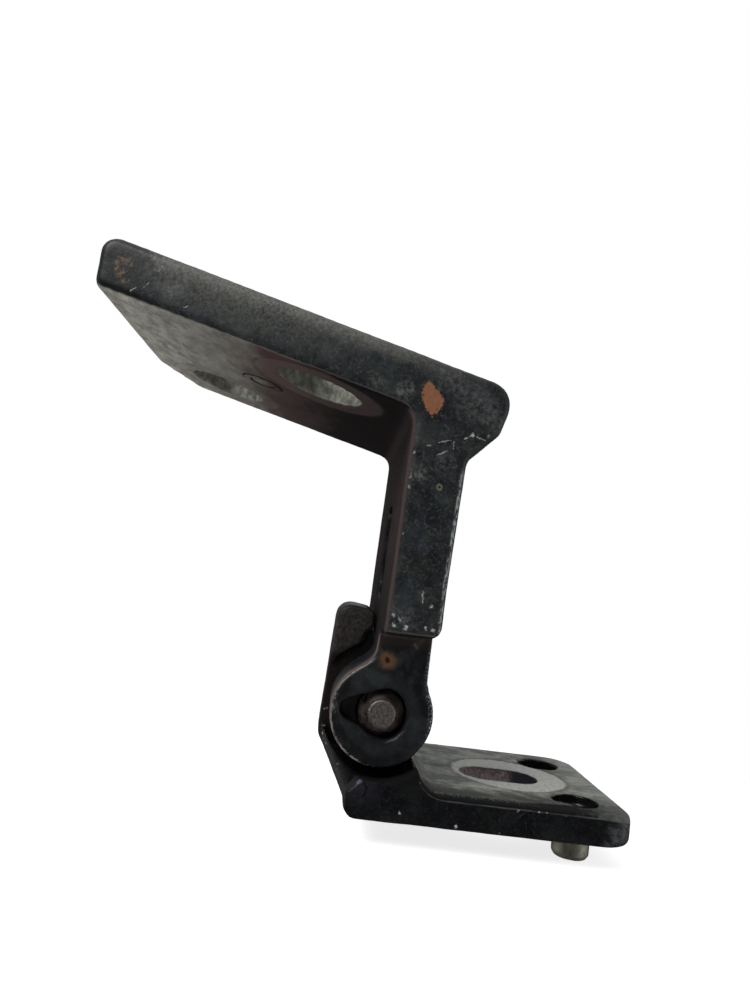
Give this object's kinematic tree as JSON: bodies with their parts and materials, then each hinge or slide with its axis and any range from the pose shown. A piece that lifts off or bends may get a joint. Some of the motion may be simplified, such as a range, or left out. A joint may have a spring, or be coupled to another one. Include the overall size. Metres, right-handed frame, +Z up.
{
  "type": "gooseneck door hinge",
  "caption": "Forged gooseneck door hinge: slotted body plate with stop finger, L-shaped door plate on an arm, headed pin in flanged bushes.",
  "frame": {"origin": "on the body plate's mounting face, straight below the pin's axis, at the plate's mid-width", "axes": "+X along the body plate towards its free end, +Y along the pin towards its head, +Z up from the body plate's mounting face"},
  "size_m": [0.1014, 0.06, 0.0939],
  "materials": {
    "body_bracket": "semi-gloss black paint over forged steel, worn to grey on top",
    "door_bracket": "semi-gloss black paint over forged steel, chipped edges, orange primer showing",
    "hinge_pin": "dull bare steel, brown with age",
    "bushes": "oiled sintered bronze",
    "locating_dowel": "bare steel, scuffed"
  },
  "bodies": {
    "body_side": {"body_bracket": "body_bracket", "bush_front": "bushes", "bush_rear": "bushes", "locating_dowel": "locating_dowel"},
    "door_side": {"door_bracket": "door_bracket", "hinge_pin": "hinge_pin"}
  },
  "joints": [
    {"name": "door_swing", "type": "hinge", "parent": "body_side", "child": "door_side", "pos_m": [0, 0, 0.0176], "axis": [0, 1, 0], "range_deg": [0, 80]}
  ]
}
